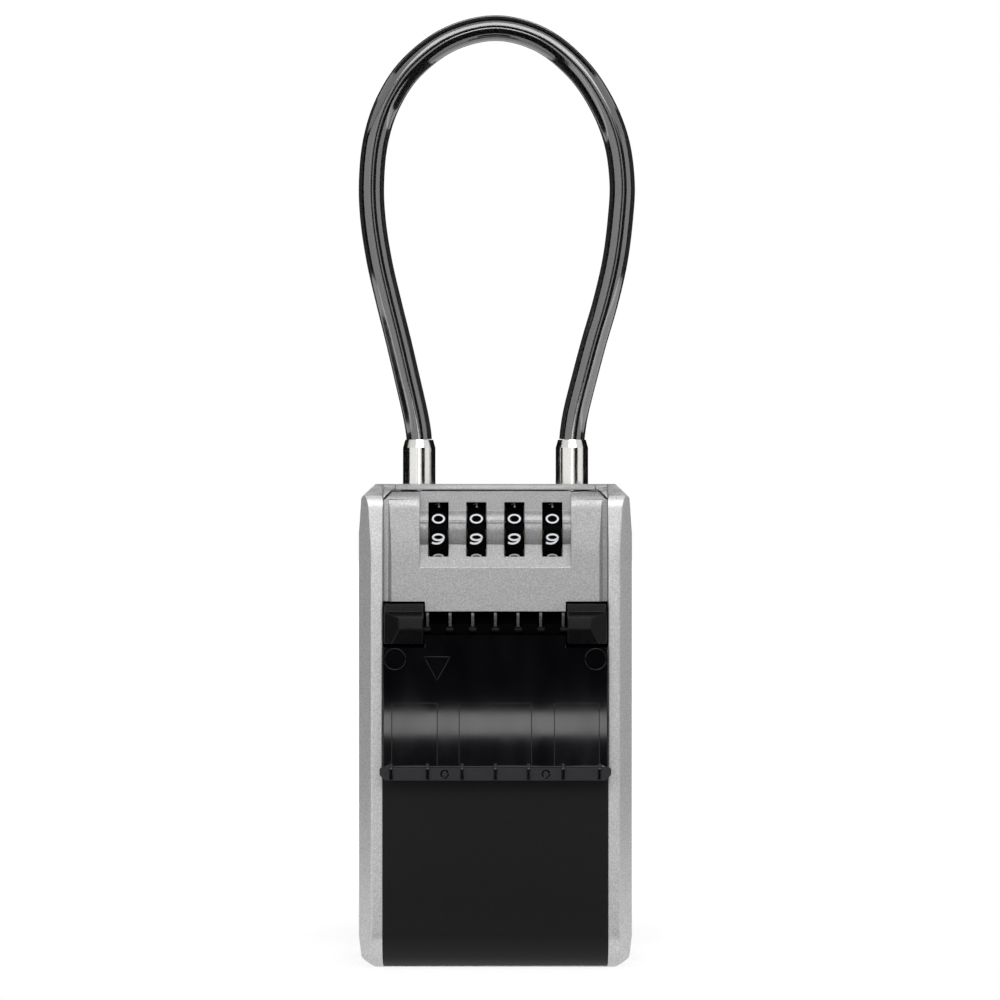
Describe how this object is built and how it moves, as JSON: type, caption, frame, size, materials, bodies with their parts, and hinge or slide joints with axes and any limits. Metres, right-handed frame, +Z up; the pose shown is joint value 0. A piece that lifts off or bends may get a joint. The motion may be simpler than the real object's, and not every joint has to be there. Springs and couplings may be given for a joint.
{
  "type": "combination key safe",
  "caption": "Portable combination key safe: bevelled metal box with a drop-down door, dial wheels, a flip-down weather shutter and a lift-out cable shackle.",
  "frame": {"origin": "middle of the flat base, under the body's mid width and mid depth", "axes": "+X to the right seen from the front, +Y to the back, +Z up towards the shackle"},
  "size_m": [0.0868, 0.0602, 0.2952],
  "materials": {
    "silver_paint": "fine-grained metallic satin paint",
    "cover_plastic": "fine satin moulding",
    "shutter_plastic": "smooth semi-gloss moulding",
    "dial_plastic": "gloss with white printed numerals",
    "rubber": "matte",
    "steel": "plated, satin",
    "die_cast": "bare zinc casting, dull",
    "case_plastic": "matte moulding",
    "brass": "turned, satin",
    "nickel": "polished nickel plate",
    "cable_jacket": "smoky clear jacket over a steel strand"
  },
  "bodies": {
    "housing": {"rear_housing": "silver_paint", "top_plate": "silver_paint", "rear_pad": "rubber", "door_seals": "rubber", "door_hinge_pin": "steel", "shackle_block": "die_cast", "block_screws": "steel", "shackle_bolt_spring": "steel"},
    "bolt": {"shackle_bolt": "steel", "shackle_release_tab": "cover_plastic"},
    "shackle": {"cable": "cable_jacket", "ferrule_left": "nickel", "ferrule_right": "nickel"},
    "door": {"door_casting": "silver_paint", "door_cover": "cover_plastic", "cover_screws": "steel", "lock_case": "case_plastic", "lock_case_screws": "steel", "dial_spindle": "steel", "detent_spring": "steel", "latch_spring": "steel", "release_springs": "steel", "reset_pivot": "steel"},
    "dial_1": {"dial_wheel_1": "dial_plastic", "dial_sleeve_1": "brass"},
    "dial_2": {"dial_wheel_2": "dial_plastic", "dial_sleeve_2": "brass"},
    "dial_3": {"dial_wheel_3": "dial_plastic", "dial_sleeve_3": "brass"},
    "dial_4": {"dial_wheel_4": "dial_plastic", "dial_sleeve_4": "brass"},
    "latch": {"latch_slide": "steel"},
    "reset": {"reset_lever": "steel"},
    "release": {"release_slide": "cover_plastic", "shutter_hinge_pin": "steel"},
    "shutter": {"shutter": "shutter_plastic"}
  },
  "joints": [
    {"name": "door_hinge", "type": "hinge", "parent": "housing", "child": "door", "pos_m": [0, -0.0193, 0.0067], "axis": [1, 0, 0], "range_deg": [0, 100]},
    {"name": "shackle_lift", "type": "slide", "parent": "housing", "child": "shackle", "axis": [0, 0, 1], "range_m": [0, 0.034]},
    {"name": "bolt_slide", "type": "slide", "parent": "housing", "child": "bolt", "axis": [1, 0, 0], "range_m": [0, 0.0017], "deforming": ["shackle_bolt_spring"]},
    {"name": "release_pull", "type": "slide", "parent": "door", "child": "release", "axis": [0, 0, 1], "range_m": [-0.0046, 0], "stiffness_N_per_m": 300, "springref_m": 0.003, "deforming": ["release_springs"]},
    {"name": "shutter_flip", "type": "hinge", "parent": "release", "child": "shutter", "pos_m": [0, -0.0296, 0.1037], "axis": [-1, 0, 0], "range_deg": [0, 180]},
    {"name": "latch_throw", "type": "slide", "parent": "door", "child": "latch", "axis": [0, 0, 1], "range_m": [0, 0.0046], "deforming": ["latch_spring"]},
    {"name": "reset_turn", "type": "hinge", "parent": "door", "child": "reset", "pos_m": [-0.012, -0.0008, 0.1102], "axis": [0, -1, 0], "range_deg": [0, 60]},
    {"name": "dial_1_turn", "type": "hinge", "parent": "door", "child": "dial_1", "pos_m": [-0.01725, -0.0149, 0.1318], "axis": [1, 0, 0], "continuous": true},
    {"name": "dial_2_turn", "type": "hinge", "parent": "door", "child": "dial_2", "pos_m": [-0.00575, -0.0149, 0.1318], "axis": [1, 0, 0], "continuous": true},
    {"name": "dial_3_turn", "type": "hinge", "parent": "door", "child": "dial_3", "pos_m": [0.00575, -0.0149, 0.1318], "axis": [1, 0, 0], "continuous": true},
    {"name": "dial_4_turn", "type": "hinge", "parent": "door", "child": "dial_4", "pos_m": [0.01725, -0.0149, 0.1318], "axis": [1, 0, 0], "continuous": true}
  ]
}
